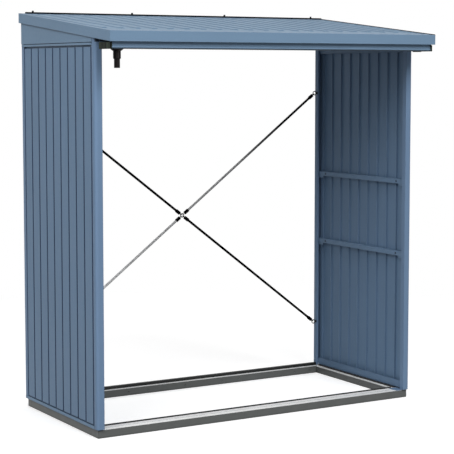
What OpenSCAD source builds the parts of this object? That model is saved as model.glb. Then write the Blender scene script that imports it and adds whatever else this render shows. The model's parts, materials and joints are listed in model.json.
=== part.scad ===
// Open-fronted metal log store: two ribbed side walls on corner posts, a mono-pitch
// roof with a gutter under its front edge, a base frame, and rope bracing at the rear.
// Millimetres, +Z up, front facing -Y, origin on the ground under the middle of the roof.

/* [Walls] */
// Width across the outer faces of the two side walls
wall_w = 1804; // [1400:1:2600]
// Depth of a side wall over its front and rear posts
wall_d = 832; // [640:1:1200]
// Number of grooves pressed into one wall sheet
wall_grooves = 8; // [4:1:14]
// Width of a groove at the sheet's outer face
groove_w = 12; // [8:0.5:20]
// Width of a groove's floor
groove_floor_w = 7; // [4:0.5:7.5]
// Thickness of the wall sheets
sheet_t = 1.2; // [0.8:0.1:2]
// Gap between a wall sheet's lower end and the bottom rail's cover strip
sheet_gap = 6; // [2:0.5:12]
// Gap between a wall sheet's upper end and the top rail's cover strip
sheet_top_gap = 9; // [2:0.5:12]

/* [Posts] */
// Width of a post's front or rear face
post_w = 38; // [30:1:60]
// Width of a post's face on the side of the store
post_side_w = 30; // [29:1:50]
// Depth of the flange that returns inside the store
post_return = 28; // [20:1:28]
// Length of the stiffening lip on the return flange
post_lip = 10; // [5:0.5:14]
// Depth of the inward hem that the wall sheet laps behind
post_hem = 8; // [5:0.5:11]
// Radius of a front post's outer corner
post_corner_r = 15; // [6:0.5:20]
// Radius of a rear post's outer corner
rear_corner_r = 4; // [2.5:0.5:20]
// Thickness of the posts
post_t = 1.5; // [1:0.1:2.5]
// Thickness of the foot plate under a post
foot_t = 3.5; // [2:0.5:6]
// Width of the foot plate that shows beside the right front post
foot_w = 60; // [50:1:66]
// Setback of a foot plate from its post's outer faces
foot_inset = 12; // [8:0.5:14]

/* [Base frame] */
// Height of the base frame's ledges
base_h = 38; // [25:1:80]
// How far the walls stand out beyond the base frame
base_inset = 9.5; // [6:0.5:14]
// Wall thickness of the base sections
base_t = 2; // [1.5:0.1:3]
// Width of the front rail
front_rail_w = 76; // [74:1:120]
// Height of the lip along the back of the front rail
front_lip_h = 7; // [3:0.5:7]
// Width of the rear rail
rear_rail_w = 40.5; // [36:0.5:60]
// Width of the rear rail's open ledge
rear_ledge_w = 24; // [10:0.5:24]
// Height of the rear rail's step above its ledge
rear_step_h = 15.5; // [8:0.5:30]
// Width of a side rail
side_rail_w = 44.5; // [40:0.5:60]
// Width of a side rail's open ledge
side_ledge_w = 15; // [8:0.5:15]
// Height of a side rail's step above its ledge
side_step_h = 7; // [7:0.5:9]
// Diameter of the fixing holes in the rails' inner faces
rail_hole_d = 6; // [4:0.5:9]

/* [Wall rails] */
// Thickness of the wall rails and stiffeners
rail_t = 1.2; // [0.8:0.1:2]
// Depth of the rails behind the walls' outer faces
rail_depth = 27; // [23:0.5:27.5]
// Height of the bottom rail's inner flange
bottom_flange_h = 37; // [25:1:80]
// Height of the top rail's inner flange
top_flange_h = 37; // [25:1:80]
// Height of the bottom rail's outer cover strip above its web
bottom_strip_h = 11; // [8:0.5:20]
// Distance from the gable plate to the lower edge of the top rail's outer cover strip
top_strip_h = 13; // [8:0.5:20]
// Gap between the gable plate and that strip
strip_gap = 2.5; // [0.5:0.1:4]
// Height of the lower edge of the lower stiffener
stiffener_low_z = 738; // [300:1:900]
// Height of the lower edge of the upper stiffener
stiffener_high_z = 1115; // [950:1:1500]
// Height of a stiffener
stiffener_h = 25; // [15:1:50]
// Length of the cleat below each end of a stiffener
cleat_l = 40; // [20:1:80]
// Height of that cleat
cleat_h = 12; // [6:0.5:20]

/* [Roof] */
// Height of the roof's front edge
front_h = 1878; // [1740:1:2300]
// Rise of the roof from its front edge to its rear edge
roof_rise = 107; // [60:1:160]
// How far the roof stands out in front of the walls
front_overhang = 174.5; // [170:0.5:240]
// How far the roof stands out behind the walls
rear_overhang = 14.5; // [8:0.5:60]
// How far the roof stands out beyond each wall
side_overhang = 8; // [5:0.5:30]
// Height of the trims round the roof
trim_h = 48; // [40:1:50]
// Width of the front and rear trims' top flanges
trim_flange = 45; // [25:1:60]
// Width of the side trims' top flanges
verge_flange = 25; // [15:1:60]
// Width of the lip under the trims
trim_lip = 10; // [5:0.5:12]
// Thickness of the trims
trim_t = 1.2; // [0.8:0.1:2]
// Thickness of the roof sheets
roof_t = 1.2; // [0.8:0.1:2]
// Number of ribs on each of the three roof sheets
sheet_ribs = 7; // [3:1:9]
// Height of a rib
rib_h = 4; // [3:0.5:9]
// Width of a rib's crest
rib_top_w = 18; // [10:1:24]
// Width of a rib's foot
rib_foot_w = 32; // [26:1:50]
// Distance from the front trim's flange to the ribs
rib_front_gap = 100; // [5:1:300]
// Distance from the rear trim's flange to the ribs
rib_rear_gap = 15; // [5:1:300]
// Distance from a side trim's flange to the nearest rib
rib_side_gap = 3; // [1:0.5:20]
// Height of the beams that carry the roof
beam_h = 70; // [50:1:76]
// Depth of the beams' flanges
beam_flange = 30; // [15:1:45]
// Thickness of the beams
beam_t = 1.5; // [1:0.1:2.5]
// Height of the seal along the roof's rear edge
seal_h = 6.5; // [4:0.5:12]
// Depth of the seal
seal_w = 14; // [12:0.5:24]
// Height of the seal's clips above the seal
clip_h = 7; // [3:0.5:10]
// Distance between the seal's clips
clip_pitch = 557; // [200:1:560]
// Diameter of the clips
clip_d = 10; // [6:0.5:12]
// Distance from the left verge to the end of the seal
seal_left_inset = 35; // [5:1:120]
// Distance from the right verge to the end of the seal
seal_right_inset = 5; // [5:1:120]

/* [Gutter] */
// Distance from the roof's front face to the gutter
gutter_setback = 15.5; // [14:0.5:22]
// Width of the gutter
gutter_w = 110; // [100:1:145]
// Drop of the gutter's underside below the front trim
gutter_drop = 32; // [24:1:50]
// Height of the gutter's front wall
gutter_h = 44; // [34:1:52]
// Height of the step along the foot of the gutter's front wall
gutter_foot_h = 13; // [8:0.5:20]
// How far the front wall stands back above that step
gutter_step = 3; // [2:0.5:6]
// Height of the gutter's back wall, up to the hanger
gutter_back_h = 60; // [46:1:62]
// Height of the hanger's flange on the front beam
hanger_h = 20; // [12:1:24]
// Thickness of the gutter
gutter_t = 1.2; // [0.8:0.1:2]
// Width of an end cap
cap_w = 10; // [7:0.5:16]
// Distance from a wall's outer face to the middle of the outlet
outlet_inset = 52; // [45:1:200]
// Distance from a wall's outer face to the middle of the plug
plug_inset = 68; // [45:1:200]
// Distance from the gutter's front to the middle of its outlet
outlet_setback = 35; // [32:1:70]
// Diameter of the outlet's flange
outlet_flange_d = 58; // [44:1:60]
// Diameter of the outlet's upper tube
outlet_tube_d = 35; // [31:0.5:42]
// Diameter of the outlet's hose spigot
outlet_spigot_d = 27; // [24:0.5:30]
// Diameter of the way through the outlet
outlet_bore_d = 21; // [12:0.5:21]
// Length of the outlet below the gutter
outlet_l = 86; // [70:1:140]
// Diameter of the plug
plug_d = 45; // [38:1:60]

/* [Bracing] */
// Height of the lower rope anchors
anchor_low_z = 288; // [200:1:500]
// Drop of the upper rope anchors below the roof's front edge
anchor_drop = 303; // [240:1:540]
// Distance from a post's inner face to the middle of an anchor's ring
anchor_reach = 18; // [15:0.5:30]
// Radius of the rings, to the middle of their wire
ring_r = 10; // [9:0.5:11]
// Diameter of the rings' wire
ring_wire_d = 5; // [4:0.1:5.2]
// Diameter of the ropes
rope_d = 10; // [6:0.5:11]
// Diameter of the wire of the loops at the ropes' ends
loop_wire_d = 4; // [3:0.1:4.4]
// Diameter of the hole in such a loop
loop_hole_d = 9; // [6.5:0.1:9.5]
// Diameter of the ferrules pressed on the ropes
ferrule_d = 13; // [12:0.5:16]
// Length of those ferrules
ferrule_l = 28; // [15:1:40]

/* [Hidden] */
$fn = 48;
seat = 0.2;
roof_w = wall_w + 2 * side_overhang;
roof_d = wall_d + front_overhang + rear_overhang;
roof_x = roof_w / 2;
side_x = wall_w / 2;
roof_front = -roof_d / 2;
roof_back = roof_d / 2;
wall_back = roof_back - rear_overhang;
wall_front = wall_back - wall_d;
roof_pitch = atan(roof_rise / roof_d);
roof_run = roof_d / cos(roof_pitch);
// Depth below the roof's outer surface of the sheets, square to it, and of what carries them
sheet_drop = trim_t + seat;
carry_drop = (sheet_drop + roof_t) / cos(roof_pitch) + seat;

base_x = side_x - base_inset;
base_front = wall_front + base_inset;
base_back = wall_back - base_inset;
foot_lip = 6;

groove_depth = post_hem + seat;
groove_pitch = (wall_d - 2 * post_side_w - groove_w) / (wall_grooves + 1);
groove_slope = (groove_w - groove_floor_w) / 2;
sheet_lap = 10;
between_front = wall_front + post_side_w + seat;
between_back = wall_back - post_side_w - seat;
post_z = base_h + foot_t;
rail_x0 = side_x - rail_depth;
rail_x1 = side_x - groove_depth - sheet_t - seat;
cover_x = side_x + seat + rail_t;
bottom_web_z = base_h + side_step_h + seat;
// Lower edge of the gable plates, at the height of the front trim's lower edge
gable_z = front_h - trim_h;
top_web_z = gable_z - seat;
sheet_z0 = bottom_web_z + bottom_strip_h + sheet_gap;
sheet_z1 = top_web_z - top_strip_h - sheet_top_gap;
gable_front = wall_front + post_corner_r + 10;
roof_sheets = 3;
sheet_span = (roof_w - 2 * trim_t) / roof_sheets;

gutter_z = gable_z - gutter_drop;
gutter_front = roof_front + gutter_setback;
gutter_back = gutter_front + gutter_w;
cap_t = 3;
gutter_end_x = side_x - cap_t;
hanger_z = gutter_z + gutter_back_h;
outlet_x = -side_x + outlet_inset;
plug_x = side_x - plug_inset;
outlet_y = gutter_front + outlet_setback;
neck_d = 34;
neck_clearance = 0.4;

anchor_y = wall_back - 20;
anchor_x = side_x - post_w - anchor_reach;
anchor_high_z = front_h - anchor_drop;
anchor_shank_d = 8;
brace_mid_z = (anchor_low_z + anchor_high_z) / 2;
// The ropes' loops hang taut on the rings' wire
loop_r = (loop_hole_d + loop_wire_d) / 2;
loop_reach = ring_r + (loop_hole_d - ring_wire_d) / 2 - 0.3;

blue = [0.36, 0.45, 0.56];
light_blue = [0.42, 0.51, 0.62];
grey = [0.62, 0.63, 0.64];
steel = [0.70, 0.71, 0.72];
black = [0.08, 0.08, 0.09];

// Height of the roof's outer surface above a place from front to rear
function roof_z(y) = front_h + roof_rise * (y - roof_front) / roof_d;

// A bent sheet's outline: one face follows the path, the other lies t to its left
function unit(v) = v / norm(v);
function left_of(v) = [-v[1], v[0]];
function leg(path, i) = unit(path[i + 1] - path[i]);
function mitre(path, i) =
    let (
        before = leg(path, max(i - 1, 0)),
        after = leg(path, min(i, len(path) - 2)),
        middle = left_of(unit(before + after))
    )
    middle / (middle * left_of(before));
function other_face(path, t) = [for (i = [0 : len(path) - 1]) path[i] + t * mitre(path, i)];
function reversed(list) = [for (i = [len(list) - 1 : -1 : 0]) list[i]];
module bent_sheet(path, t) {
    polygon(concat(path, reversed(other_face(path, t))));
}

// Sections drawn as [y, z] run along X, and sections drawn as [x, z] run along Y
module along_x(x0, x1) {
    translate([x0, 0, 0]) rotate([90, 0, 90]) linear_extrude(x1 - x0) children();
}
module along_y(y0, y1) {
    translate([0, y1, 0]) rotate([90, 0, 0]) linear_extrude(y1 - y0) children();
}
module on_left() {
    mirror([1, 0, 0]) children();
}

// A strip from y0 to y1 that follows the roof's slope, its top drop below the roof's surface
module slope_strip(y0, y1, drop, t) {
    polygon([
        [y0, roof_z(y0) - drop], [y0, roof_z(y0) - drop - t],
        [y1, roof_z(y1) - drop - t], [y1, roof_z(y1) - drop]
    ]);
}

// Base frame

// A hollow section, open along its underside between two lips
module rail_section(w, h, cells) {
    cell_w = (w - base_t * (cells + 1)) / cells;
    difference() {
        square([w, h]);
        for (i = [0 : cells - 1])
            translate([base_t + i * (cell_w + base_t), 0]) {
                translate([0, base_t]) square([cell_w, h - 2 * base_t]);
                translate([foot_lip, -1]) square([cell_w - 2 * foot_lip, base_t + 2]);
            }
    }
}

// The raised step along the outer side of a rail
module step_section(w, ledge_w, step_h) {
    translate([ledge_w, base_h - base_t]) difference() {
        square([w - ledge_w, step_h + base_t]);
        translate([base_t, base_t]) square([w - ledge_w - 2 * base_t, step_h - base_t]);
    }
}

// The plates that close both ends of a long rail, whose front face lies in the plane y
module end_plates(y, w) {
    for (x = [-base_x, base_x - base_t])
        translate([x, y, 0]) cube([base_t, w, base_h]);
}

module base_front_rail() {
    groove = 0.8;
    color(grey) difference() {
        union() {
            along_x(-base_x, base_x)
                translate([base_front, 0]) rail_section(front_rail_w, base_h, 2);
            along_x(-base_x + side_rail_w, base_x - side_rail_w)
                translate([base_front + front_rail_w - base_t, base_h - base_t])
                    square([base_t, front_lip_h + base_t]);
            end_plates(base_front, front_rail_w);
        }
        along_x(-base_x - 1, base_x + 1)
            translate([base_front + front_rail_w / 2 - 1, base_h - groove]) square([2, 2 * groove]);
        rail_holes(base_front + front_rail_w);
    }
}

// Fixing holes in a long rail's inner face, which lies in the plane y
module rail_holes(y) {
    for (share = [0, 0.255, 0.381, 0.784, 0.9], side = [-1, 1])
        translate([side * share * base_x, y, base_h / 2])
            rotate([90, 0, 0]) cylinder(d = rail_hole_d, h = 4 * base_t, center = true);
}

module base_rear_rail() {
    inner_y = base_back - rear_rail_w;
    color(grey) difference() {
        union() {
            along_x(-base_x, base_x)
                translate([inner_y, 0]) rail_section(rear_rail_w, base_h, 1);
            along_x(post_w + 2 - side_x, side_x - post_w - 2)
                translate([inner_y, 0]) step_section(rear_rail_w, rear_ledge_w, rear_step_h);
            end_plates(inner_y, rear_rail_w);
        }
        rail_holes(inner_y);
    }
}

module base_side_rail() {
    y0 = base_front + front_rail_w + seat;
    y1 = base_back - rear_rail_w - seat;
    inner_x = base_x - side_rail_w;
    slot_x = inner_x + side_ledge_w - 2.5;
    slot_end = 38;
    color(grey) difference() {
        along_y(y0, y1)
            translate([inner_x, 0]) {
                rail_section(side_rail_w, base_h, 1);
                step_section(side_rail_w, side_ledge_w, side_step_h);
            }
        translate([slot_x - 1.5, y0 + slot_end, base_h - 2 * base_t])
            cube([3, y1 - y0 - 2 * slot_end, 3 * base_t]);
        for (y = [y0 + slot_end, y1 - slot_end])
            translate([slot_x - 2, y, base_h - 2 * base_t]) cylinder(d = 8, h = 2 * base_t + 1);
        for (share = [0.03, 0.44, 0.6])
            translate([inner_x, y1 - share * (y1 - y0), base_h / 2])
                rotate([0, 90, 0]) cylinder(d = rail_hole_d, h = 4 * base_t, center = true);
    }
}
module base_right_rail() {
    base_side_rail();
}
module base_left_rail() {
    on_left() base_side_rail();
}

// Posts

// Plan of a post, its outer corner of radius r at the origin and its body towards -X and +Y
module post_section(r) {
    translate([-post_t, r]) square([post_t, post_side_w - r]);
    translate([-post_w, 0]) square([post_w - r, post_t]);
    translate([-r, r]) difference() {
        intersection() {
            circle(r);
            translate([0, -r]) square(r);
        }
        circle(r - post_t);
    }
    translate([-post_w, 0]) square([post_t, post_return]);
    translate([-post_w, post_return - post_t]) square([post_lip, post_t]);
    translate([-post_hem, post_side_w - post_t]) square([post_hem, post_t]);
}

// Foot plate of width w under a post, set back from the post's outer faces
module foot_plate(w, depth) {
    translate([side_x - foot_inset - w, foot_inset, base_h + seat])
        cube([w, depth, post_z - base_h - seat]);
}
module hidden_foot_plate() {
    foot_plate(post_w - foot_inset - 2, post_return - foot_inset);
}

module front_post() {
    top = roof_z(wall_front) - carry_drop;
    color(light_blue) translate([0, wall_front, 0]) {
        translate([side_x, 0, post_z]) linear_extrude(top - post_z) post_section(post_corner_r);
        children();
    }
}

module rear_post() {
    top = roof_z(wall_back - post_side_w) - carry_drop;
    color(blue) difference() {
        translate([0, wall_back, 0]) mirror([0, 1, 0]) {
            translate([side_x, 0, post_z]) linear_extrude(top - post_z) post_section(rear_corner_r);
            hidden_foot_plate();
        }
        for (z = [anchor_low_z, anchor_high_z])
            translate([side_x - post_w, anchor_y, z]) rotate([0, 90, 0])
                cylinder(d = anchor_shank_d + 2 * seat, h = 4 * post_t, center = true);
    }
}
module right_front_post() {
    front_post() foot_plate(foot_w, foot_w);
}
module left_front_post() {
    on_left() front_post() hidden_foot_plate();
}
module right_rear_post() {
    rear_post();
}
module left_rear_post() {
    on_left() rear_post();
}

// Side walls

// Plan of a wall sheet as [depth behind the outer face, place along the wall]
function wall_path() = concat(
    [[-groove_depth, wall_front + post_side_w - sheet_lap]],
    [for (k = [0 : wall_grooves])
        let (
            y0 = wall_front + post_side_w + groove_w + k * groove_pitch,
            y1 = y0 + groove_pitch - groove_w
        )
        each [
            [-groove_depth, y0 - groove_slope], [0, y0],
            [0, y1], [-groove_depth, y1 + groove_slope]
        ]],
    [[-groove_depth, wall_back - post_side_w + sheet_lap]]
);

module wall_sheet() {
    color(blue) translate([side_x, 0, sheet_z0]) linear_extrude(sheet_z1 - sheet_z0)
        bent_sheet(wall_path(), sheet_t);
}
module right_wall_sheet() {
    wall_sheet();
}
module left_wall_sheet() {
    on_left() wall_sheet();
}

// A channel behind the sheet's ends, with a cover strip that stands in front of them.
// Its web lies at z = 0 and its flanges rise from it.
module wall_rail(flange_h, strip_h, strip_below) {
    along_y(between_front, between_back) {
        bent_sheet([[rail_x0, flange_h], [rail_x0, 0], [rail_x1, 0], [rail_x1, strip_h + 20]], rail_t);
        translate([rail_x1 - rail_t, strip_h - rail_t]) square([cover_x - rail_x1 + rail_t, rail_t]);
    }
    along_y(between_front, wall_back - rear_corner_r)
        translate([cover_x - rail_t, -strip_below]) square([rail_t, strip_h + strip_below]);
}

module side_bottom_rail() {
    color(light_blue) translate([0, 0, bottom_web_z])
        wall_rail(bottom_flange_h, bottom_strip_h, bottom_web_z - post_z);
}
module side_top_rail() {
    color(light_blue) translate([0, 0, top_web_z]) mirror([0, 0, 1])
        wall_rail(top_flange_h, top_strip_h, -strip_gap);
}
module right_bottom_rail() {
    side_bottom_rail();
}
module left_bottom_rail() {
    on_left() side_bottom_rail();
}
module right_top_rail() {
    side_top_rail();
}
module left_top_rail() {
    on_left() side_top_rail();
}

// A channel across the inner side of a wall, with a cleat below each end
module stiffener(z) {
    cleat_y0 = wall_front + max(post_return, post_side_w) + seat;
    cleat_y1 = wall_back - max(post_return, post_side_w) - seat;
    color(blue) {
        along_y(between_front, between_back)
            bent_sheet([[rail_x1, z + stiffener_h], [rail_x0, z + stiffener_h],
                [rail_x0, z], [rail_x1, z]], rail_t);
        for (y = [cleat_y0, cleat_y1 - cleat_l])
            translate([rail_x0, y, z - cleat_h]) cube([rail_t, cleat_l, cleat_h + rail_t]);
    }
}
module right_lower_stiffener() {
    stiffener(stiffener_low_z);
}
module left_lower_stiffener() {
    on_left() stiffener(stiffener_low_z);
}
module right_upper_stiffener() {
    stiffener(stiffener_high_z);
}
module left_upper_stiffener() {
    on_left() stiffener(stiffener_high_z);
}

// The flat plate between a wall and the roof, with a flange on the rail and one under the roof
module gable_plate() {
    plate_x = side_x + seat;
    color(blue) {
        along_x(plate_x, plate_x + rail_t)
            polygon([
                [gable_front, gable_z], [wall_back, gable_z],
                [wall_back, roof_z(wall_back) - carry_drop],
                [gable_front, roof_z(gable_front) - carry_drop]
            ]);
        along_x(rail_x0, plate_x + rail_t) {
            translate([between_front, gable_z]) square([between_back - between_front, rail_t]);
            slope_strip(between_front, between_back, carry_drop, rail_t);
        }
    }
}
module right_gable_plate() {
    gable_plate();
}
module left_gable_plate() {
    on_left() gable_plate();
}

// Roof

// A channel from post to post, its top flange on the roof's slope
module beam_section(face_y, inward) {
    end_y = face_y + inward * beam_flange;
    top = roof_z(face_y) - carry_drop;
    bent_sheet([
        [end_y, roof_z(end_y) - carry_drop], [face_y, top],
        [face_y, top - beam_h], [end_y, top - beam_h]
    ], inward * beam_t);
}
module front_beam() {
    half = side_x - post_w - seat;
    color(blue) along_x(-half, half) beam_section(wall_front, 1);
}
module rear_beam() {
    half = side_x - post_w - seat;
    color(blue) along_x(-half, half) beam_section(wall_back, -1);
}

// A line's profile over a pressed rib from a to b, with both ends sloped
function rib_path(a, b) =
    let (slope = (rib_foot_w - rib_top_w) / 2)
    [[a, -roof_t / 2], [a, 0], [a + slope, rib_h], [b - slope, rib_h], [b, 0], [b, -roof_t / 2]];

// The body of a rib on the flat from x0 to x0 + rib_foot_w and from y0 to y1
module rib(x0, y0, y1) {
    intersection() {
        along_y(y0, y1) polygon(rib_path(x0, x0 + rib_foot_w));
        along_x(x0, x0 + rib_foot_w) polygon(rib_path(y0, y1));
    }
}

// The frame of sheet number k of three, from left to right: its left edge and the roof's slope
module on_roof(k) {
    translate([-roof_x + trim_t + k * sheet_span + seat, roof_front, front_h])
        rotate([roof_pitch, 0, 0]) translate([0, 0, -sheet_drop]) children();
}

// A flat sheet with its side edges turned down and ribs pressed up between the trims' flanges
module roof_sheet(k) {
    end_gap = 4;
    turned = 8;
    w = sheet_span - 2 * seat;
    first_x = verge_flange + rib_side_gap;
    pitch = (w - 2 * first_x - rib_foot_w) / (sheet_ribs - 1);
    y0 = trim_flange + rib_front_gap;
    y1 = roof_run - trim_flange - rib_rear_gap;
    color(light_blue) on_roof(k) difference() {
        union() {
            along_y(end_gap, roof_run - end_gap)
                bent_sheet([[0, -turned], [0, 0], [w, 0], [w, -turned]], -roof_t);
            for (i = [0 : sheet_ribs - 1]) rib(first_x + i * pitch, y0, y1);
        }
        for (i = [0 : sheet_ribs - 1])
            translate([0, 0, -roof_t]) rib(first_x + i * pitch, y0, y1);
    }
}
module roof_sheet_left() {
    roof_sheet(0);
}
module roof_sheet_middle() {
    roof_sheet(1);
}
module roof_sheet_right() {
    roof_sheet(2);
}

// Section of the front or rear trim, from its flange over the sheets to its lip
module trim_section(face_y, inward) {
    flange_y = face_y + inward * trim_flange;
    low = roof_z(face_y) - trim_h;
    bent_sheet([
        [flange_y, roof_z(flange_y)], [face_y, roof_z(face_y)],
        [face_y, low], [face_y + inward * trim_lip, low]
    ], inward * trim_t);
}
module front_trim() {
    half = roof_x - trim_t - seat;
    color(light_blue) along_x(-half, half) trim_section(roof_front, 1);
}
module rear_trim() {
    half = roof_x - trim_t - seat;
    color(light_blue) along_x(-half, half) trim_section(roof_back, -1);
}

// The side trim: a plate the whole depth of the roof, with its flange and lip between the others
module verge_trim() {
    flange_y = trim_flange + seat;
    lip_y = trim_lip + seat;
    lip_w = 6;
    color(blue) {
        along_x(roof_x - trim_t, roof_x) slope_strip(roof_front, roof_back, 0, trim_h);
        along_x(roof_x - verge_flange, roof_x)
            slope_strip(roof_front + flange_y, roof_back - flange_y, 0, trim_t);
        along_x(roof_x - lip_w, roof_x)
            slope_strip(roof_front + lip_y, roof_back - lip_y, trim_h - trim_t, trim_t);
    }
}
module right_verge_trim() {
    verge_trim();
}
module left_verge_trim() {
    on_left() verge_trim();
}

// Seal along the rear edge, where the store stands against a wall, with as many clips as fit
module rear_seal() {
    x0 = seal_left_inset - roof_x;
    x1 = roof_x - seal_right_inset;
    pitches = floor((2 * min(-x0, x1) - clip_d) / clip_pitch);
    y0 = roof_back - seal_w;
    low = roof_z(roof_back) + seat;
    crown = low + seal_h;
    color(black) {
        along_x(x0, x1)
            polygon([
                [y0, roof_z(y0) + seat], [roof_back, low], [roof_back, low + seal_h / 3],
                [roof_back - seal_w / 4, crown], [y0 + seal_w / 4, crown], [y0, low + seal_h / 3]
            ]);
        for (k = [0 : pitches])
            translate([(k - pitches / 2) * clip_pitch, roof_back - seal_w / 2, low])
                cylinder(d = clip_d, h = seal_h + clip_h);
    }
}

// Gutter

module gutter() {
    hanger_y = wall_front - seat;
    color(light_blue) difference() {
        along_x(-gutter_end_x, gutter_end_x)
            bent_sheet([
                [gutter_front + gutter_step, gutter_z + gutter_h],
                [gutter_front + gutter_step, gutter_z + gutter_foot_h],
                [gutter_front, gutter_z + gutter_foot_h - gutter_step],
                [gutter_front, gutter_z], [gutter_back, gutter_z],
                [gutter_back, hanger_z], [hanger_y, hanger_z], [hanger_y, hanger_z + hanger_h]
            ], gutter_t);
        for (x = [outlet_x, plug_x])
            translate([x, outlet_y, gutter_z])
                cylinder(d = neck_d + 2 * neck_clearance, h = 8 * gutter_t, center = true);
    }
}

// A cap that fits round the gutter's end
module gutter_cap() {
    lap = gutter_t + seat;
    inner_x = side_x - cap_w;
    color(black) difference() {
        translate([inner_x, gutter_front - lap, gutter_z - lap])
            cube([cap_w, gutter_w + 2 * lap, gutter_drop - 1]);
        translate([inner_x - 1, gutter_front - seat, gutter_z - seat])
            cube([cap_w - cap_t + 1 + seat, gutter_w + 2 * seat, gutter_drop + 10]);
    }
}
module gutter_right_cap() {
    gutter_cap();
}
module gutter_left_cap() {
    on_left() gutter_cap();
}

// Outlet: a flange under the gutter, a tube and a thinner spigot for a hose, bored through
module gutter_outlet() {
    bore = outlet_bore_d / 2;
    tube = outlet_tube_d / 2;
    spigot = outlet_spigot_d / 2;
    color(black) translate([outlet_x, outlet_y, gutter_z])
        rotate_extrude() polygon([
            [bore, 5], [neck_d / 2, 5], [neck_d / 2, -seat], [outlet_flange_d / 2, -seat],
            [outlet_flange_d / 2, -3], [tube, -11], [tube, -outlet_l / 2], [spigot, -outlet_l / 2 - 4],
            [spigot, -outlet_l + 1], [spigot - 1, -outlet_l], [bore, -outlet_l]
        ]);
}

module gutter_plug() {
    color(black) translate([plug_x, outlet_y, gutter_z])
        rotate_extrude() polygon([
            [0, 4], [neck_d / 2, 4], [neck_d / 2, -seat],
            [plug_d / 2, -seat], [plug_d / 2, -3], [plug_d / 2 - 2, -4.5], [0, -4.5]
        ]);
}

// Rope bracing

// A ring of wire round the Y axis
module wire_ring(r, wire_d) {
    rotate([90, 0, 0]) rotate_extrude() translate([r, 0]) circle(d = wire_d);
}

// An eye bolt through the return flange of a rear post, with its washer and nut
module anchor(z) {
    reach = anchor_reach - ring_r;
    washer_t = 2;
    nut_t = 5;
    color(steel) translate([anchor_x, anchor_y, z]) {
        wire_ring(ring_r, ring_wire_d);
        translate([ring_r, 0, 0]) rotate([0, 90, 0])
            cylinder(d = anchor_shank_d, h = reach + post_t + nut_t + 2);
        translate([anchor_reach - washer_t - seat, 0, 0]) rotate([0, 90, 0])
            cylinder(d = 14, h = washer_t);
        translate([anchor_reach + post_t + seat, 0, 0]) rotate([0, 90, 0])
            cylinder(d = 14, h = nut_t, $fn = 6);
    }
}
module upper_right_anchor() {
    anchor(anchor_high_z);
}
module upper_left_anchor() {
    on_left() anchor(anchor_high_z);
}
module lower_right_anchor() {
    anchor(anchor_low_z);
}
module lower_left_anchor() {
    on_left() anchor(anchor_low_z);
}

module brace_ring() {
    color(steel) translate([0, anchor_y, brace_mid_z]) wire_ring(ring_r, ring_wire_d);
}

// A rope from the middle ring to an anchor's ring, with a ferrule and a loop at each end
module brace(anchor_z) {
    rise = anchor_z - brace_mid_z;
    span = norm([anchor_x, rise]);
    tilt = atan2(rise, anchor_x);
    start = loop_reach + loop_r;
    color(black) translate([0, anchor_y, brace_mid_z]) rotate([0, -tilt, 0]) {
        for (x = [loop_reach, span - loop_reach])
            translate([x, 0, 0]) rotate_extrude() translate([loop_r, 0]) circle(d = loop_wire_d);
        for (x = [start, span - start - ferrule_l])
            translate([x, 0, 0]) rotate([0, 90, 0]) cylinder(d = ferrule_d, h = ferrule_l);
        translate([start, 0, 0]) rotate([0, 90, 0]) cylinder(d = rope_d, h = span - 2 * start);
    }
}
module upper_right_brace() {
    brace(anchor_high_z);
}
module upper_left_brace() {
    on_left() brace(anchor_high_z);
}
module lower_right_brace() {
    brace(anchor_low_z);
}
module lower_left_brace() {
    on_left() brace(anchor_low_z);
}

base_front_rail();
base_rear_rail();
base_left_rail();
base_right_rail();
left_front_post();
right_front_post();
left_rear_post();
right_rear_post();
left_wall_sheet();
right_wall_sheet();
left_bottom_rail();
right_bottom_rail();
left_top_rail();
right_top_rail();
left_lower_stiffener();
right_lower_stiffener();
left_upper_stiffener();
right_upper_stiffener();
left_gable_plate();
right_gable_plate();
front_beam();
rear_beam();
roof_sheet_left();
roof_sheet_middle();
roof_sheet_right();
front_trim();
rear_trim();
left_verge_trim();
right_verge_trim();
rear_seal();
gutter();
gutter_left_cap();
gutter_right_cap();
gutter_outlet();
gutter_plug();
upper_left_anchor();
upper_right_anchor();
lower_left_anchor();
lower_right_anchor();
upper_left_brace();
upper_right_brace();
lower_left_brace();
lower_right_brace();
brace_ring();
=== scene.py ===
"""Looks of the open-fronted metal log store: materials, rope bracing, fixings, studio and camera.

Metres, +Z up, the store's front faces -Y. The frame gives every place that a piece sits on.
"""

import json
import math

import bmesh
import bpy
from mathutils import Matrix, Vector


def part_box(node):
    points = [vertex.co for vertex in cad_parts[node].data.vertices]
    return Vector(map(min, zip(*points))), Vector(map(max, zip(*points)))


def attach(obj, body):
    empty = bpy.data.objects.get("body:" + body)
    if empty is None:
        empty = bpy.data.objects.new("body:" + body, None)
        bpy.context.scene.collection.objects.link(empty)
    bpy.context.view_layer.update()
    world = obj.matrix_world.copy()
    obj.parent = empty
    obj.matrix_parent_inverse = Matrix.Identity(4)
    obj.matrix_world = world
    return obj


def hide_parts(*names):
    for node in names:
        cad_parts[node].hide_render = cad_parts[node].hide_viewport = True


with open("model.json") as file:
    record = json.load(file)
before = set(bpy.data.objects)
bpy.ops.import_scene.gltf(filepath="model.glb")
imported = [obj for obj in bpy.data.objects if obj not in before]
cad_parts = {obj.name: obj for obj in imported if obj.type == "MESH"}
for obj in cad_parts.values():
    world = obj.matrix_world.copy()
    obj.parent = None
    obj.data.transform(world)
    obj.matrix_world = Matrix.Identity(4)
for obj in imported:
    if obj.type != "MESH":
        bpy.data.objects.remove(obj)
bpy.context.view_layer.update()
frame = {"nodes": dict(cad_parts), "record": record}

BODY = "root"
REARWARD = Vector((0, 1, 0))

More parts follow.
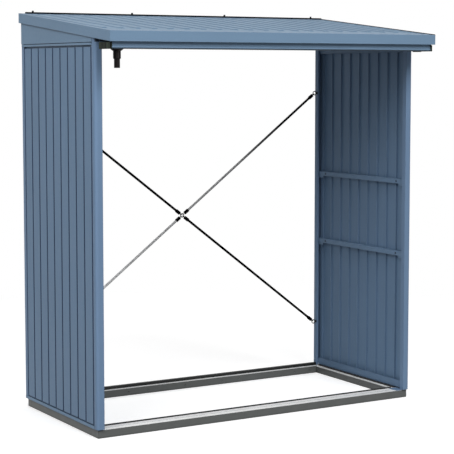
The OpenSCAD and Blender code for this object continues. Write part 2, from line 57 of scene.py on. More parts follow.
# Camera, fitted to the straight edges of the store in the photograph of 454 x 454 pixels
CAMERA_PLACE = (-3.9050, -6.5639, 1.7002)
CAMERA_YAW = math.radians(-30.720)
CAMERA_PITCH_DOWN = math.radians(5.210)
CAMERA_LENS = 120.19
CAMERA_SENSOR = 36.0
CAMERA_SHIFT_Y = -0.04

# Square soft boxes, all of one size and at one distance from the place that they aim at
BOX_SIZE = 7.0
BOX_DISTANCE = 13.0
BOX_AIM = Vector((0.0, 0.0, 1.0))
# Direction from the store, power in watts, and whether it shows in reflections, of each soft box
SOFT_BOXES = {
    "front_box": ((0.0, -1.0, 0.9), 940.0, True),
    "left_box": ((-1.0, -0.6, 0.9), 580.0, True),
    "low_box": ((-1.0, -1.0, 0.35), 160.0, True),
    "side_box": ((-1.0, -0.1, 0.9), 180.0, True),
    "right_box": ((1.0, 0.3, 0.5), 600.0, False),
    "rear_box": ((0.2, 1.0, 0.9), 330.0, False),
}

# Floor: its colour for light that bounces on, its colour and own glow near the store where it is
# seen, and the distances over which it fades into the white sky
FLOOR_SIZE = 80.0
FLOOR_DROP = 0.0005
FLOOR_BOUNCE = (0.25, 0.25, 0.25)
FLOOR_SEEN = (0.80, 0.80, 0.80)
FLOOR_GLOW = 0.52
FLOOR_FADE = (1.2, 4.0)
WHITE = (1.0, 1.0, 1.0)
BLACK = (0.0, 0.0, 0.0)

# Rings of the bracing, and the rope eyes that are looped through them with a little slack
RING_RADIUS = 0.010
RING_WIRE = 0.005
EYE_WIRE = 0.004
EYE_HOLE = 0.009
EYE_SLACK = 0.0003
EYE_RADIUS = (EYE_HOLE + EYE_WIRE) / 2
EYE_PLACE = RING_RADIUS + (EYE_HOLE - RING_WIRE) / 2 - EYE_SLACK
# An eye's bend in half turns and in steps, and how far its legs run into the ferrule
EYE_BEND = 1.25
EYE_STEPS = 14
EYE_TAIL = 0.006

# Ropes, with their strands laid round a core
ROPE_DIAMETER = 0.0135
STRANDS = 6
LAY_LENGTH = 0.065
STEPS_PER_LAY = 12
CORE_STEPS = 4

# Ferrules: the rounded end as (distance from it, share of the radius), a crimp as (distance from
# its middle, share of the radius), and the crimps' places in shares of the length
FERRULE_DIAMETER = 0.019
FERRULE_LENGTH = 0.028
FERRULE_END = ((0.0, 0.72), (0.0012, 0.95), (0.0030, 1.0))
CRIMP = ((-0.0022, 1.0), (-0.0010, 0.88), (0.0010, 0.88), (0.0022, 1.0))
CRIMP_PLACES = (0.25, 0.50, 0.75)

# Sides of the swept and turned pieces
WIRE_SIDES = 8
ROUND_SIDES = 12
WASHER_SIDES = 20
FERRULE_SIDES = 24
HEAD_SIDES = 6

# Screws: washer and hexagon head as (height, radius), both in shares of the head's radius
SCREW_RADIUS = 0.004
STIFFENER_SCREW_RADIUS = 0.0035
WASHER = ((0.0, 1.35), (0.16, 1.35), (0.22, 1.25))
HEAD = ((0.2, 1.0), (0.75, 1.0), (0.92, 0.84))

# Distances of the screws from the ends and edges of the pieces that they hold
STIFFENER_SCREW_DROP = 0.0125
STIFFENER_SCREW_INSET = 0.062
POST_SCREW_RISE = 0.06
POST_SCREW_DROP = 0.12
BEAM_SCREW_DROP = 0.04
BEAM_SCREW_INSET = 0.03
TRIM_SCREW_INSET = 0.06
TRIM_SCREWS = 6

# Black bead on the right verge, painted shade along its outer edge: its radius, its steps in
# shares of the length, and how near to the verge's ends a vertex counts as standing there
BEAD_RADIUS = 0.0036
BEAD_STEPS = (0.0, 0.02, 0.5, 0.98, 1.0)
BEAD_END_REACH = 0.002

# Nodes with a finish of their own
TRIM_ENDINGS = ("_trim", "_rail", "_plate")
SIDE_BASE_RAILS = ("base_left_rail", "base_right_rail")
# The inner rails take a darker copy of the rails' blue: painted shade inside the store
INNER_RAILS = ("right_bottom_rail", "right_top_rail")
CAP_ENDINGS = ("_cap", "_plug")

# Colours, linear
WALL_BLUE = (0.172, 0.280, 0.432)
# Darker blue of the inner rails: painted shade
INNER_RAIL_SHADED_BLUE = (0.150, 0.246, 0.385)
ROOF_BLUE = (0.118, 0.205, 0.306)
TRIM_BLUE = (0.204, 0.324, 0.472)
POST_BLUE = (0.190, 0.297, 0.462)
BASE_GREY = (0.150, 0.158, 0.155)
# Near-white of the base frame's ledges: painted highlight
LEDGE_HIGHLIGHT_WHITE = (0.965, 0.970, 0.965)
PIPE_BLACK = (0.014, 0.012, 0.012)
CAP_BLACK = (0.014, 0.019, 0.014)
SLEEVE_BLACK = (0.004, 0.004, 0.005)
RUBBER_BLACK = (0.006, 0.007, 0.009)
STEEL = (0.520, 0.520, 0.520)
RING_STEEL = (0.140, 0.140, 0.140)
ROPE_STEEL = (0.880, 0.880, 0.880)
# Near black of two rope runs: painted shade
ROPE_SHADED = (0.030, 0.030, 0.031)
SCREW_DARK = (0.020, 0.024, 0.030)

# Share of each channel of a sheet's blue that is left in the painted shade of its creases
CREASE_SHADE_TINT = (0.02, 0.04, 0.13)

# Part of a noise's range that is spread over the tones that it gives
SPREAD = (0.3, 0.7)
WIDE_SPREAD = (0.2, 0.8)
WIRE_SPREAD = (0.25, 0.75)
REFLECTION_STREAK_SPREAD = (0.38, 0.62)

# Stretches of the X, Y or Z of a normal, over which a face goes from one look to the other
FACES_DOWN = (-0.7, -0.1)
FACES_UP = (0.5, 0.9)
LEDGE_UP = (0.6, 0.9)
UPPER_EDGE = (-0.1, 0.1)
LEANS_FORWARD = (-0.6, -0.1)
FACES_FORWARD = (-0.75, -0.45)
RIGHT_EDGE = (0.1, 0.5)
FACES_RIGHT = (0.1, 0.8)
ROPE_UNDERSIDE = (-0.5, 0.5)
# The same for a normal's X times the place's X, which is negative on inward faces
FACES_INWARD = (-0.1, -0.3)
# The same for how far a rounded normal agrees with the flat one, which is 1 away from edges
OFF_EDGE = (1.0, 0.75)

# Coated sheet: folds, painted shade in creases, and the tones and shares of the painted shade and
# painted highlight on the faces and edges turned each way
FOLD_RADIUS = 0.0025
CREASE_REACH = 0.022
CREASE_END = 0.92
INSIDE_CREASE_SHADE = 0.15
INSIDE_SHADE_TONE = 0.97
UNDERSIDE_SHADE_TONE = 0.15
EDGE_HIGHLIGHT_TONE = 1.2
EDGE_HIGHLIGHT_SHARE = 0.3
RIGHT_EDGE_SHADE_TONE = 0.35

# Painted shade by height: on the gutter's bottom roll, and a painted shadow on forward faces under
# the roof's front edge
GUTTER_ROLL = 0.005
GUTTER_ROLL_SHADE_TONE = 0.22
ROOF_SHADOW = 1.830
ROOF_SHADOW_DEPTH = 0.9
SHADE_ONSET = 0.001

# Base frame: height of its ledges with their painted highlight, how far that painted highlight
# reaches down the inner faces of the side rails, and the heights over which these and the painted
# shade on the step above them begin and end; then the tones of the painted shade on that step and
# on its edges
LEDGE_HEIGHT = 0.038
LEDGE_HIGHLIGHT_REACH = 0.0035
LEDGE_HIGHLIGHT_ONSET = 0.0003
LEDGE_TOP = (LEDGE_HEIGHT + 0.0002, LEDGE_HEIGHT + 0.0007)
STEP_FOOT = (LEDGE_HEIGHT, LEDGE_HEIGHT + 0.0005)
STEP_SHADE_TONE = 0.15
EDGE_SHADE_TONE = 0.15

# Plastic: radius and tone of the painted shade on its edges, and tone of the painted shade on its
# faces turned right
PLASTIC_EDGE_RADIUS = 0.0010
PLASTIC_EDGE_SHADE_TONE = 0.2
PLASTIC_RIGHT_SHADE_TONE = 0.15

# How much of the painted shade on edges shows on base profiles and plastic
EDGE_SHADE_SHARE = 0.8

# Numbers of the sockets of a mix node that hold its factor, its two colours and their mix
MIX_FACTOR = 0
MIX_A = 6
MIX_B = 7
MIX_RESULT = 2

# Painted shade on the ropes along X: each stretch is (start, end, tone at its end)
STEEL_ROPE_SHADE_ALONG_X = ((-0.80, 0.05, 0.75), (0.33, 0.64, 0.02))
DARK_ROPE_SHADE_ALONG_X = ((-0.30, 0.05, 0.15),)


# Node helpers


def feed(tree, socket, value):
    """Links value to the socket, or sets it there where it is a plain number, vector or colour."""
    if isinstance(value, bpy.types.NodeSocket):
        tree.links.new(value, socket)
    elif socket.type == "RGBA":
        socket.default_value = (*value, 1.0)
    else:
        socket.default_value = value


def add_node(tree, kind, inputs=None, **settings):
    """A new node with these settings, and with its inputs fed."""
    made = tree.nodes.new(kind)
    for name, value in settings.items():
        setattr(made, name, value)
    for name, value in (inputs or {}).items():
        feed(tree, made.inputs[name], value)
    return made


def math_node(tree, operation, a, b, clamp=False):
    """The result of a math node."""
    inputs = {0: a, 1: b}
    made = add_node(tree, "ShaderNodeMath", inputs, operation=operation, use_clamp=clamp)
    return made.outputs[0]


def product(tree, first, *others):
    """All these values multiplied together."""
    for other in others:
        first = math_node(tree, "MULTIPLY", first, other)
    return first


def rest_of(tree, value):
    """1 less value."""
    return math_node(tree, "SUBTRACT", 1.0, value)


def mapped(tree, value, stretch, tones):
    """value, mapped from the stretch (start, end) to the tones at those ends, and clamped."""
    inputs = {
        "Value": value,
        "From Min": stretch[0],
        "From Max": stretch[1],
        "To Min": tones[0],
        "To Max": tones[1],
    }
    return add_node(tree, "ShaderNodeMapRange", inputs, clamp=True).outputs[0]


def mix_colours(tree, factor, a, b, blend_type="MIX"):
    """A mix of the colours a and b."""
    inputs = {MIX_FACTOR: factor, MIX_A: a, MIX_B: b}
    mix = add_node(tree, "ShaderNodeMix", inputs, data_type="RGBA", blend_type=blend_type)
    return mix.outputs[MIX_RESULT]


def scaled(tree, colour, amount):
    """colour times the number from the socket amount."""
    inputs = {"Red": amount, "Green": amount, "Blue": amount}
    grey = add_node(tree, "ShaderNodeCombineColor", inputs)
    return mix_colours(tree, 1.0, colour, grey.outputs[0], "MULTIPLY")


def shade_of(colour, tone):
    """A plain colour, each channel times tone."""
    return tuple(channel * tone for channel in colour)


def component(tree, vector, axis):
    """The X, Y or Z of a vector."""
    return add_node(tree, "ShaderNodeSeparateXYZ", {0: vector}).outputs[axis]


def noise(tree, place, scale, detail=2.0, roughness=0.5):
    """A noise value from 0 to 1."""
    inputs = {"Vector": place, "Scale": scale, "Detail": detail, "Roughness": roughness}
    return add_node(tree, "ShaderNodeTexNoise", inputs).outputs["Fac"]


def stretched(tree, place, scale):
    """place with each axis scaled, for grain that runs one way."""
    return add_node(tree, "ShaderNodeMapping", {"Vector": place, "Scale": scale}).outputs[0]


def object_place(tree):
    """The place on the object, which is the same in every view."""
    return add_node(tree, "ShaderNodeTexCoord").outputs["Object"]


def face_normal(tree):
    """The direction that the face looks in, which is the same in every view."""
    return add_node(tree, "ShaderNodeNewGeometry").outputs["Normal"]


def bump(tree, height, strength, distance, normal=None):
    """A bumped normal."""
    inputs = {"Height": height, "Strength": strength, "Distance": distance}
    if normal is not None:
        inputs["Normal"] = normal
    return add_node(tree, "ShaderNodeBump", inputs).outputs[0]


def crease(tree, reach, darkest, openness):
    """Painted shade in creases: from darkest to 1 as the surroundings within reach open over the
    stretch openness.
    """
    occlusion = add_node(tree, "ShaderNodeAmbientOcclusion", {"Distance": reach}, samples=8)
    return mapped(tree, occlusion.outputs["AO"], openness, (darkest, 1.0))


def rounded_edge(tree, radius):
    """(normal with the sharp edges rounded, how strongly this place is an edge from 0 to 1)."""
    soft = add_node(tree, "ShaderNodeBevel", {"Radius": radius}, samples=4).outputs[0]
    inputs = {0: soft, 1: face_normal(tree)}
    agree = add_node(tree, "ShaderNodeVectorMath", inputs, operation="DOT_PRODUCT")
    return soft, mapped(tree, agree.outputs["Value"], OFF_EDGE, (0.0, 1.0))


def looks_inward(tree, place):
    """1 on faces that look towards the middle of the store, and 0 on the others."""
    ahead = component(tree, face_normal(tree), "X")
    side = component(tree, place, "X")
    return mapped(tree, product(tree, ahead, side), FACES_INWARD, (0.0, 1.0))


def empty_tree(owner):
    """The node tree of a new material or world, with its old nodes taken out."""
    owner.use_nodes = True
    owner.node_tree.nodes.clear()
    return owner.node_tree


def new_material(name):
    """(material, its tree, its Principled shader)."""
    material = bpy.data.materials.new(name)
    tree = empty_tree(material)
    shader = tree.nodes.new("ShaderNodeBsdfPrincipled")
    add_node(tree, "ShaderNodeOutputMaterial", {"Surface": shader.outputs[0]})
    return material, tree, shader


def feed_shader(tree, shader, **inputs):
    """Feeds the shader's inputs, an underscore standing for a space."""
    for name, value in inputs.items():
        feed(tree, shader.inputs[name.replace("_", " ")], value)


# Materials


def coated_sheet(
    name,
    blue,
    crease_start,
    crease_shade_strength=0.88,
    top_shade_tone=1.0,
    front_shade_tone=1.0,
    right_shade=0.8,
    shaded_below=None,
    front_shaded_above=None,
):
    """Stove-enamelled blue-grey sheet: fine orange peel, gentle waves, soft folds, painted shade
    in creases.

    The painted shade in creases is at its strongest, by the given strength, where the openness is
    crease_start or less. Faces that look up or forwards get painted shade of a tone of their own,
    inward faces and undersides get painted shade too, upper edges a painted highlight, and
    right-turned edges painted shade. All that lies below shaded_below is in painted shade, and
    forward faces above front_shaded_above are in painted shadow.
    """
    material, tree, shader = new_material(name)
    place = object_place(tree)
    height = component(tree, place, "Z")
    soft, edge = rounded_edge(tree, FOLD_RADIUS)
    right, back, up = (component(tree, soft, axis) for axis in "XYZ")
    inside = looks_inward(tree, place)

    # Random tone and grain, times painted shade on inward faces, undersides, and faces that look
    # up or forwards
    tone = product(
        tree,
        mapped(tree, noise(tree, place, scale=1.7, detail=3.0), SPREAD, (0.965, 1.035)),
        mapped(tree, noise(tree, place, scale=420.0, detail=1.0), WIDE_SPREAD, (0.975, 1.025)),
        mapped(tree, inside, (0.0, 1.0), (1.0, INSIDE_SHADE_TONE)),
        mapped(tree, up, FACES_DOWN, (UNDERSIDE_SHADE_TONE, 1.0)),
        mapped(tree, up, FACES_UP, (1.0, top_shade_tone)),
        mapped(tree, back, LEANS_FORWARD, (front_shade_tone, 1.0)),
    )
    # Painted shade in creases, tinted navy, weaker on inward faces
    depth = product(
        tree,
        rest_of(tree, crease(tree, CREASE_REACH, 1.0 - crease_shade_strength, (crease_start, CREASE_END))),
        mapped(tree, inside, (0.0, 1.0), (1.0, INSIDE_CREASE_SHADE)),
    )
    crease_shade_colour = tuple(channel * share for channel, share in zip(blue, CREASE_SHADE_TINT))
    colour = mix_colours(tree, depth, scaled(tree, blue, tone), crease_shade_colour)
    # Painted highlight on upper edges
    upper_edge_highlight = product(tree, edge, mapped(tree, up, UPPER_EDGE, (0.0, EDGE_HIGHLIGHT_SHARE)))
    colour = mix_colours(tree, upper_edge_highlight, colour, shade_of(blue, EDGE_HIGHLIGHT_TONE))
    # Painted shade on right-turned edges
    dark = product(tree, edge, mapped(tree, right, RIGHT_EDGE, (0.0, right_shade)))
    colour = mix_colours(tree, dark, colour, shade_of(blue, RIGHT_EDGE_SHADE_TONE))
    # Painted shade on the gutter's bottom roll, and painted roof shadow on forward faces
    if shaded_below is not None:
        onset = (shaded_below, shaded_below + SHADE_ONSET)
        colour = scaled(tree, colour, mapped(tree, height, onset, (GUTTER_ROLL_SHADE_TONE, 1.0)))
    if front_shaded_above is not None:
        onset = (front_shaded_above, front_shaded_above + SHADE_ONSET)
        above = mapped(tree, height, onset, (0.0, ROOF_SHADOW_DEPTH))
        forward = mapped(tree, back, FACES_FORWARD, (1.0, 0.0))
        colour = scaled(tree, colour, rest_of(tree, product(tree, above, forward)))

    rough = mapped(tree, noise(tree, place, scale=60.0, detail=3.0), SPREAD, (0.44, 0.54))
    upright = stretched(tree, place, (1.0, 1.0, 0.35))
    swell = noise(tree, upright, scale=7.0, detail=1.0)
    waves = bump(tree, swell, strength=0.12, distance=0.004, normal=soft)
    pores = noise(tree, place, scale=700.0, detail=1.0)
    peel = bump(tree, pores, strength=0.10, distance=0.0002, normal=waves)
    feed_shader(
        tree, shader, Base_Color=colour, Roughness=rough, Normal=peel, Specular_IOR_Level=0.25
    )
    return material


def base_profile(name, highlight_reach):
    """Dark grey drawn sections with a painted highlight on their ledges, reaching the given
    distance down their inner faces, and painted shade in creases, on edges and on the step above
    the ledges.
    """
    material, tree, shader = new_material(name)
    place = object_place(tree)
    height = component(tree, place, "Z")
    soft, edge = rounded_edge(tree, FOLD_RADIUS)
    # Painted highlight on the ledges, and a little way down the inner faces below them
    level = mapped(tree, component(tree, face_normal(tree), "Z"), LEDGE_UP, (0.0, 1.0))
    highlight_foot = LEDGE_HEIGHT - highlight_reach
    highlight_band = mapped(tree, height, (highlight_foot, highlight_foot + LEDGE_HIGHLIGHT_ONSET), (0.0, 1.0))
    inner_highlight_band = product(tree, highlight_band, looks_inward(tree, place))
    ledge_highlight = product(
        tree,
        math_node(tree, "MAXIMUM", level, inner_highlight_band),
        mapped(tree, height, LEDGE_TOP, (1.0, 0.0)),
    )

    mottle = noise(tree, place, scale=12.0, detail=4.0, roughness=0.6)
    drawn = noise(tree, stretched(tree, place, (0.02, 0.02, 1.0)), scale=900.0, detail=2.0)
    tone = product(
        tree,
        mapped(tree, mottle, SPREAD, (0.96, 1.04)),
        mapped(tree, drawn, SPREAD, (0.94, 1.05)),
    )
    # Painted shade in creases and on the step above the ledges
    dark_tone = product(
        tree,
        tone,
        crease(tree, reach=0.012, darkest=0.45, openness=(0.25, 0.95)),
        mapped(tree, height, STEP_FOOT, (1.0, STEP_SHADE_TONE)),
    )
    # Painted shade on the edges
    edge_shade_grey = shade_of(BASE_GREY, EDGE_SHADE_TONE)
    dark = scaled(tree, BASE_GREY, dark_tone)
    dark = mix_colours(tree, product(tree, edge, EDGE_SHADE_SHARE), dark, edge_shade_grey)
    colour = mix_colours(tree, ledge_highlight, dark, scaled(tree, LEDGE_HIGHLIGHT_WHITE, tone))

    rough = mapped(tree, noise(tree, place, scale=30.0, detail=3.0), SPREAD, (0.34, 0.44))
    lines = bump(tree, drawn, strength=0.03, distance=0.0001, normal=soft)
    feed_shader(
        tree, shader, Base_Color=colour, Roughness=rough, Normal=lines, Specular_IOR_Level=0.2
    )
    return material


def moulded_plastic(name, colour, roughness, specular):
    """Moulded plastic with painted reflection streaks and flow marks along its draft, and painted
    shade on its edges and on faces turned right.
    """
    material, tree, shader = new_material(name)
    place = object_place(tree)
    soft, edge = rounded_edge(tree, PLASTIC_EDGE_RADIUS)
    right = component(tree, face_normal(tree), "X")
    # Painted reflection streaks, and painted shade on faces turned right
    reflection_streaks = noise(tree, stretched(tree, place, (1.0, 1.0, 0.02)), scale=75.0, detail=1.0)
    tone = product(
        tree,
        mapped(tree, reflection_streaks, REFLECTION_STREAK_SPREAD, (0.20, 3.00)),
        mapped(tree, right, FACES_RIGHT, (1.0, PLASTIC_RIGHT_SHADE_TONE)),
    )
    # Painted shade on the edges
    plastic_edge_shade = shade_of(colour, PLASTIC_EDGE_SHADE_TONE)
    plastic_edge_shade_share = product(tree, edge, EDGE_SHADE_SHARE)
    surface = mix_colours(tree, plastic_edge_shade_share, scaled(tree, colour, tone), plastic_edge_shade)
    rough = mapped(tree, noise(tree, place, scale=140.0, detail=2.0), SPREAD, roughness)
    flow = noise(tree, stretched(tree, place, (1.0, 1.0, 0.2)), scale=160.0, detail=2.0)
    marks = bump(tree, flow, strength=0.08, distance=0.0004, normal=soft)
    feed_shader(
        tree,
        shader,
        Base_Color=surface,
        Roughness=rough,
        Normal=marks,
        Specular_IOR_Level=specular,
    )
    return material


def seal_rubber():
    """Matt black rubber with a fine skin."""
    material, tree, shader = new_material("black_seal_rubber")
    place = object_place(tree)
    tone = mapped(tree, noise(tree, place, scale=120.0, detail=3.0), SPREAD, (0.75, 1.35))
    colour = scaled(tree, RUBBER_BLACK, tone)
    rough = mapped(tree, noise(tree, place, scale=60.0, detail=2.0), SPREAD, (0.60, 0.80))
    skin = bump(tree, noise(tree, place, scale=900.0, detail=2.0), strength=0.25, distance=0.0003)
    feed_shader(
        tree, shader, Base_Color=colour, Roughness=rough, Normal=skin, Specular_IOR_Level=0.0
    )
    return material


def plated_steel(name, colour, roughness):
    """Plated steel, lightly mottled and turned."""
    material, tree, shader = new_material(name)
    place = object_place(tree)
    mottle = noise(tree, place, scale=260.0, detail=4.0, roughness=0.6)
    surface = scaled(tree, colour, mapped(tree, mottle, SPREAD, (0.85, 1.12)))
    rough = mapped(tree, noise(tree, place, scale=400.0, detail=2.0), SPREAD, roughness)
    turned = noise(tree, stretched(tree, place, (1.0, 1.0, 8.0)), scale=500.0, detail=2.0)
    lines = bump(tree, turned, strength=0.10, distance=0.0001)
    feed_shader(tree, shader, Base_Color=surface, Roughness=rough, Normal=lines, Metallic=1.0)
    return material


def rope_strand(name, colour, roughness, metal, shade_along_x, underside):
    """Wires of a laid rope: fine lines, with painted shade between and under them and along X."""
    material, tree, shader = new_material(name)
    place = object_place(tree)
    side = component(tree, place, "X")
    up = component(tree, face_normal(tree), "Z")
    # Painted shade along X
    stretches = [
        mapped(tree, side, (start, end), (1.0, end_tone)) for start, end, end_tone in shade_along_x
    ]
    unshaded_share = product(tree, *stretches)
    wires = noise(tree, stretched(tree, place, (1.0, 1.0, 0.6)), scale=1400.0, detail=2.0)
    # Painted shade between and under the wires
    tone = product(
        tree,
        mapped(tree, wires, WIRE_SPREAD, (0.70, 1.25)),
        crease(tree, reach=0.0012, darkest=0.35, openness=(0.3, 0.95)),
        mapped(tree, up, ROPE_UNDERSIDE, (underside, 1.0)),
        unshaded_share,
    )
    feed_shader(
        tree,
        shader,
        Base_Color=scaled(tree, colour, tone),
        Metallic=product(tree, unshaded_share, metal) if metal else 0.0,
        Roughness=mapped(tree, wires, WIRE_SPREAD, roughness),
        Normal=bump(tree, wires, strength=0.2, distance=0.0002),
        Specular_IOR_Level=0.0,
    )
    return material


steel_rope = {"roughness": (0.28, 0.42), "metal": 0.5, "shade_along_x": STEEL_ROPE_SHADE_ALONG_X, "underside": 0.4}
shaded_rope_look = {"roughness": (0.5, 0.7), "metal": 0.0, "shade_along_x": DARK_ROPE_SHADE_ALONG_X, "underside": 0.25}
materials = {
    # Walls: painted shade on faces that lean forward
    "blue_sheet": coated_sheet("blue_coated_sheet", WALL_BLUE, crease_start=0.40, front_shade_tone=0.75),
    "base_metal": base_profile("base_profile_metal", highlight_reach=0.0),
    "black_plastic": moulded_plastic(
        "black_pipe_plastic", PIPE_BLACK, roughness=(0.22, 0.34), specular=0.05
    ),
    "black_rubber": seal_rubber(),
    "steel_fittings": plated_steel("plated_steel", STEEL, roughness=(0.22, 0.38)),
    "steel_rope": rope_strand("steel_rope_wires", ROPE_STEEL, **steel_rope),
}
# Near-black copy of the rope: painted shade
rope_in_painted_shade = rope_strand("rope_wires_in_painted_shade", ROPE_SHADED, **shaded_rope_look)
side_profile = base_profile("base_side_profile_metal", LEDGE_HIGHLIGHT_REACH)
screw_finish = plated_steel("blackened_steel", SCREW_DARK, roughness=(0.30, 0.45))
# Inner rails: a darker copy, painted shade
rail_sheet_in_painted_shade = coated_sheet("inner_rail_sheet_in_painted_shade", INNER_RAIL_SHADED_BLUE, crease_start=0.40)
# Trims and posts: strong painted crease shade, and painted shade on faces that look up
folded_look = {"crease_start": 0.10, "crease_shade_strength": 0.70, "top_shade_tone": 0.70}
trim_sheet = coated_sheet("light_coated_sheet", TRIM_BLUE, **folded_look)
post_sheet = coated_sheet("post_coated_sheet", POST_BLUE, **folded_look)
# Front posts and gutter: copies with a painted shadow under the roof's front edge, and painted
# shade on the gutter's bottom roll
front_post_sheet = coated_sheet(
    "front_post_coated_sheet", POST_BLUE, **folded_look, front_shaded_above=ROOF_SHADOW
)
gutter_sheet = coated_sheet(
    "gutter_coated_sheet",
    TRIM_BLUE,
    **folded_look,
    shaded_below=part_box("gutter")[0].z + GUTTER_ROLL,
    front_shaded_above=ROOF_SHADOW,
)
roof_sheet = coated_sheet(
    "roof_coated_sheet", ROOF_BLUE, crease_start=0.10, crease_shade_strength=0.60, right_shade=0.0
)
cap_plastic = moulded_plastic("black_cap_plastic", CAP_BLACK, roughness=(0.55, 0.7), specular=0.1)
sleeve_plastic = moulded_plastic(
    "black_sleeve_plastic", SLEEVE_BLACK, roughness=(0.5, 0.7), specular=0.0
)
ring_steel = plated_steel("dull_ring_steel", RING_STEEL, roughness=(0.22, 0.38))


def finish_of(node, slot):
    """The material of one of the record's parts, by its node and slot."""
    if node.startswith("roof_sheet"):
        return roof_sheet
    if node == "gutter":
        return gutter_sheet
    if node in SIDE_BASE_RAILS:
        return side_profile
    if node in INNER_RAILS:
        return rail_sheet_in_painted_shade
    if node.endswith("_front_post"):
        return front_post_sheet
    if node.endswith("_post"):
        return post_sheet
    if slot == "blue_sheet" and node.endswith(TRIM_ENDINGS):
        return trim_sheet
    if node.endswith(CAP_ENDINGS):
        return cap_plastic
    if node.endswith("right_anchor"):
        return screw_finish
    if node == "brace_ring":
        return ring_steel
    return materials[slot]


for part in frame["record"]["subparts"]:
    for material_slot in frame["nodes"][part["node"]].material_slots:
        material_slot.link = "OBJECT"
        material_slot.material = finish_of(part["node"], part["material_slot"])


# Mesh helpers


def finish_piece(mesh, name, material, smooth=True):
    """Turns a bmesh into a piece of the store that rides on its one body."""
    bmesh.ops.remove_doubles(mesh, verts=mesh.verts, dist=1e-6)
    bmesh.ops.recalc_face_normals(mesh, faces=mesh.faces)
    data = bpy.data.meshes.new(name)
    mesh.to_mesh(data)
    mesh.free()
    for polygon in data.polygons:
        polygon.use_smooth = smooth
    data.materials.append(material)
    piece = bpy.data.objects.new(name, data)
    bpy.context.scene.collection.objects.link(piece)
    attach(piece, BODY)
    return piece


def turns(sides):
    """The angles of a circle's corners."""
    return [2 * math.pi * side / sides for side in range(sides)]


def join_rings(mesh, rings):
    """Joins rings of vertices by a skin, and closes the first and the last one."""
    sides = len(rings[0])
    for first, second in zip(rings, rings[1:]):
        for side in range(sides):
            after = (side + 1) % sides
            mesh.faces.new((first[side], first[after], second[after], second[side]))
    mesh.faces.new(rings[0][::-1])
    mesh.faces.new(rings[-1])


def lathe(mesh, profile, axis_place, sides):
    """Turns the (distance along, radius) profile round the Z axis of axis_place, a 4x4 matrix."""
    rings = []
    for along, radius in profile:
        corners = [
            Vector((radius * math.cos(turn), radius * math.sin(turn), along))
            for turn in turns(sides)
        ]
        rings.append([mesh.verts.new(axis_place @ corner) for corner in corners])
    join_rings(mesh, rings)


def tube(mesh, path, radius, sides, side_axis):
    """Sweeps a circle along path; side_axis is square to the path's plane or near it."""
    rings = []
    last = len(path) - 1
    for index, point in enumerate(path):
        before = path[max(index - 1, 0)]
        after = path[min(index + 1, last)]
        ahead = (after - before).normalized()
        across = side_axis.cross(ahead).normalized()
        up = ahead.cross(across)
        ring = [
            mesh.verts.new(point + radius * (math.cos(turn) * across + math.sin(turn) * up))
            for turn in turns(sides)
        ]
        rings.append(ring)
    join_rings(mesh, rings)


def facing(place, direction):
    """The matrix whose Z axis points along direction, at place."""
    return Matrix.Translation(place) @ direction.to_track_quat("Z", "X").to_matrix().to_4x4()


# Rope bracing


def ring_centre(corner):
    """The middle of an anchor's ring: the ring is the end of the anchor nearest the middle."""
    low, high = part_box(corner + "_anchor")
    reach = RING_RADIUS + RING_WIRE / 2
    x = low.x + reach if low.x > 0 else high.x - reach
    return Vector((x, (low.y + high.y) / 2, (low.z + high.z) / 2))


def rope_strands(mesh, start, along, length):
    """The strands laid round their core, from start in the direction along."""
    strand_radius = ROPE_DIAMETER / 6
    lay_radius = ROPE_DIAMETER / 2 - strand_radius
    across = along.cross(REARWARD).normalized()
    up = along.cross(across)
    steps = int(length / LAY_LENGTH * STEPS_PER_LAY)
    for strand in range(STRANDS):
        path = []
        for step in range(steps + 1):
            travelled = length * step / steps
            turn = 2 * math.pi * (travelled / LAY_LENGTH + strand / STRANDS)
            out = math.cos(turn) * across + math.sin(turn) * up
            path.append(start + along * travelled + lay_radius * out)
        tube(mesh, path, strand_radius, WIRE_SIDES, REARWARD)
    core = [start + along * (length * step / CORE_STEPS) for step in range(CORE_STEPS + 1)]
    tube(mesh, core, lay_radius, ROUND_SIDES, REARWARD)


def eye(mesh, centre, along):
    """A rope eye looped through a ring, with its two legs running along into the ferrule."""
    bend = [math.pi * (step / EYE_STEPS - 0.5) * EYE_BEND for step in range(EYE_STEPS + 1)]
    path = [
        centre + EYE_RADIUS * (-math.cos(turn) * along + math.sin(turn) * REARWARD)
        for turn in bend
    ]
    neck = centre + along * (EYE_RADIUS + EYE_TAIL)
    inset = REARWARD * EYE_WIRE / 2
    path = [neck - inset, *path, neck + inset]
    tube(mesh, path, EYE_WIRE / 2, WIRE_SIDES, along.cross(REARWARD).normalized())


def ferrule(mesh, start, along):
    """A pressed sleeve with rounded ends and three crimps."""
    radius = FERRULE_DIAMETER / 2
    profile = [(distance, radius * share) for distance, share in FERRULE_END]
    for place in CRIMP_PLACES:
        middle = FERRULE_LENGTH * place
        profile += [(middle + distance, radius * share) for distance, share in CRIMP]
    profile += [
        (FERRULE_LENGTH - distance, radius * share) for distance, share in reversed(FERRULE_END)
    ]
    lathe(mesh, profile, facing(start, along), FERRULE_SIDES)


def brace(corner, rope_material, middle):
    """One run of the bracing, from the middle ring to the corner's ring."""
    anchor = ring_centre(corner)
    along = (anchor - middle).normalized()
    span = (anchor - middle).length
    eye_reach = EYE_PLACE + EYE_RADIUS

    strands = bmesh.new()
    rope_start = middle + along * (eye_reach + FERRULE_LENGTH / 2)
    rope_strands(strands, rope_start, along, span - 2 * eye_reach - FERRULE_LENGTH)
    rope = finish_piece(strands, corner + "_rope", rope_material)
    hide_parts(corner + "_brace")

    ends = bmesh.new()
    sleeves = bmesh.new()
    for ring, ropeward in ((middle, along), (anchor, -along)):
        eye(ends, ring + ropeward * EYE_PLACE, ropeward)
        ferrule(sleeves, ring + ropeward * eye_reach, ropeward)
    finish_piece(ends, corner + "_rope_eyes", rope_material)
    finish_piece(sleeves, corner + "_ferrules", sleeve_plastic)


